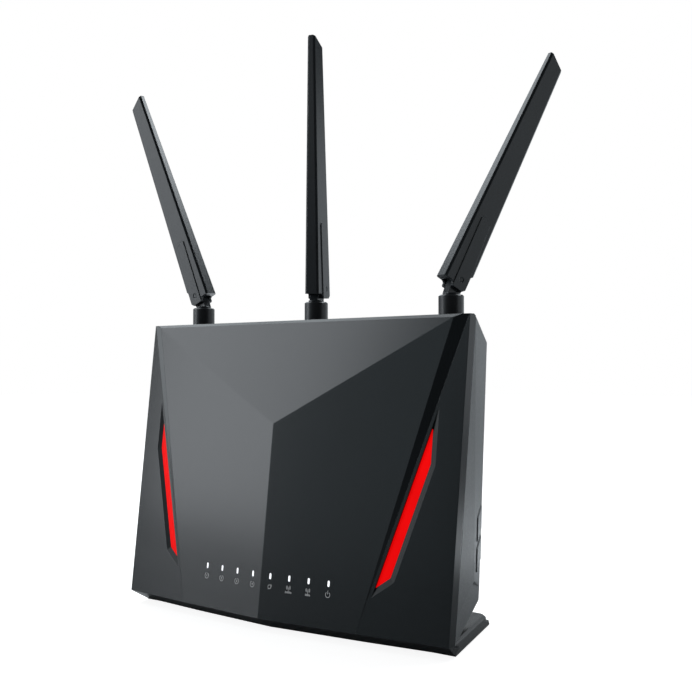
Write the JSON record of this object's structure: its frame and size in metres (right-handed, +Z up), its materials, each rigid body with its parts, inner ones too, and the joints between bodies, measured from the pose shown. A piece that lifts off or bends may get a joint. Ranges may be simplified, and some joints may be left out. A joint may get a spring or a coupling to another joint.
{
  "type": "wireless router",
  "caption": "Upright wireless router with a faceted front, red accent strips, folding paddle antennas, plate foot and rear network sockets.",
  "frame": {"origin": "on the surface the router stands on, in the foot's lower face, middle of the width", "axes": "+X to the right seen from the front, -Y towards the front, +Z up"},
  "size_m": [0.2594, 0.1114, 0.3086],
  "materials": {
    "front_plastic": "fine satin, graphite",
    "rear_plastic": "fine-grained matt, grey",
    "accent_red": "glossy red",
    "light_pipe": "clear, white when lit",
    "circuit_board": "green solder mask",
    "emitter_white": "white ceramic",
    "screw_steel": "zinc plated",
    "sink_aluminium": "plain extruded",
    "chip_black": "moulded black",
    "shield_tin": "tin plated",
    "jack_plastic": "black moulded",
    "wan_plastic": "blue moulded",
    "usb_steel": "plated sheet",
    "switch_plastic": "black moulded",
    "button_plastic": "matt black",
    "side_button_plastic": "matt grey, as the rear cover",
    "foot_plastic": "satin dark grey",
    "pad_rubber": "matt black",
    "nut_steel": "nickel plated",
    "connector_brass": "gold plated",
    "coax_jacket": "thin black jacket",
    "collar_plastic": "satin dark grey",
    "antenna_plastic": "satin dark grey"
  },
  "bodies": {
    "housing": {"front_cover": "front_plastic", "rear_cover": "rear_plastic", "port_tray": "rear_plastic", "accent_strip_left": "accent_red", "accent_strip_right": "accent_red", "light_guide": "light_pipe", "light_board": "circuit_board", "main_board": "circuit_board", "side_board": "circuit_board", "light_emitters": "emitter_white", "case_screws": "screw_steel", "board_screws": "screw_steel", "foot_screws": "screw_steel", "heatsink": "sink_aluminium", "board_chips": "chip_black", "radio_shields": "shield_tin", "lan_jack_1": "jack_plastic", "lan_jack_2": "jack_plastic", "lan_jack_3": "jack_plastic", "lan_jack_4": "jack_plastic", "dc_inlet": "jack_plastic", "wan_jack": "wan_plastic", "usb_port_a": "usb_steel", "usb_port_b": "usb_steel", "push_switches": "switch_plastic", "side_switches": "switch_plastic", "foot_base": "foot_plastic", "rubber_pads": "pad_rubber", "connector_nuts": "nut_steel", "left_connector": "connector_brass", "left_coax": "coax_jacket", "centre_connector": "connector_brass", "centre_coax": "coax_jacket", "right_connector": "connector_brass", "right_coax": "coax_jacket"},
    "left_collar_ring": {"left_collar": "collar_plastic"},
    "left_swivel": {"left_knuckle": "antenna_plastic"},
    "left_antenna": {"left_blade": "antenna_plastic", "left_element": "circuit_board", "left_hinge_pin": "antenna_plastic"},
    "centre_collar_ring": {"centre_collar": "collar_plastic"},
    "centre_swivel": {"centre_knuckle": "antenna_plastic"},
    "centre_antenna": {"centre_blade": "antenna_plastic", "centre_element": "circuit_board", "centre_hinge_pin": "antenna_plastic"},
    "right_collar_ring": {"right_collar": "collar_plastic"},
    "right_swivel": {"right_knuckle": "antenna_plastic"},
    "right_antenna": {"right_blade": "antenna_plastic", "right_element": "circuit_board", "right_hinge_pin": "antenna_plastic"},
    "power_key": {"power_button": "button_plastic"},
    "reset_key": {"reset_button": "button_plastic"},
    "wps_key": {"wps_button": "side_button_plastic"},
    "wifi_key": {"wifi_button": "side_button_plastic"}
  },
  "joints": [
    {"name": "left_collar_spin", "type": "hinge", "parent": "housing", "child": "left_collar_ring", "pos_m": [-0.0875, -0.0045, 0.1646], "axis": [0, 0, 1], "continuous": true},
    {"name": "left_swivel_turn", "type": "hinge", "parent": "housing", "child": "left_swivel", "pos_m": [-0.0875, -0.0045, 0.1646], "axis": [0, 0, 1], "range_deg": [-267, 83]},
    {"name": "left_antenna_tilt", "type": "hinge", "parent": "left_swivel", "child": "left_antenna", "pos_m": [-0.0905, -0.0046, 0.1741], "axis": [0.0349, -0.9994, 0], "range_deg": [-27.2, 65.8]},
    {"name": "centre_collar_spin", "type": "hinge", "parent": "housing", "child": "centre_collar_ring", "pos_m": [0, -0.0045, 0.1646], "axis": [0, 0, 1], "continuous": true},
    {"name": "centre_swivel_turn", "type": "hinge", "parent": "housing", "child": "centre_swivel", "pos_m": [0, -0.0045, 0.1646], "axis": [0, 0, 1], "range_deg": [-191, 159]},
    {"name": "centre_antenna_tilt", "type": "hinge", "parent": "centre_swivel", "child": "centre_antenna", "pos_m": [-0.00083, -0.00162, 0.1741], "axis": [-0.9613, -0.2756, 0], "range_deg": [-1, 92]},
    {"name": "right_collar_spin", "type": "hinge", "parent": "housing", "child": "right_collar_ring", "pos_m": [0.0875, -0.0045, 0.1646], "axis": [0, 0, 1], "continuous": true},
    {"name": "right_swivel_turn", "type": "hinge", "parent": "housing", "child": "right_swivel", "pos_m": [0.0875, -0.0045, 0.1646], "axis": [0, 0, 1], "range_deg": [-157, 193]},
    {"name": "right_antenna_tilt", "type": "hinge", "parent": "right_swivel", "child": "right_antenna", "pos_m": [0.08843, -0.00165, 0.1741], "axis": [-0.9511, 0.309, 0], "range_deg": [-32, 61]},
    {"name": "power_button_press", "type": "slide", "parent": "housing", "child": "power_key", "axis": [0, -1, 0], "range_m": [0, 0.0016], "stiffness_N_per_m": 600},
    {"name": "reset_button_press", "type": "slide", "parent": "housing", "child": "reset_key", "axis": [0, -1, 0], "range_m": [0, 0.0008], "stiffness_N_per_m": 400},
    {"name": "wps_button_press", "type": "slide", "parent": "housing", "child": "wps_key", "axis": [-0.8884, -0.4581, 0.0284], "range_m": [0, 0.001], "stiffness_N_per_m": 500},
    {"name": "wifi_button_press", "type": "slide", "parent": "housing", "child": "wifi_key", "axis": [-0.8884, -0.4581, 0.0284], "range_m": [0, 0.001], "stiffness_N_per_m": 500}
  ]
}
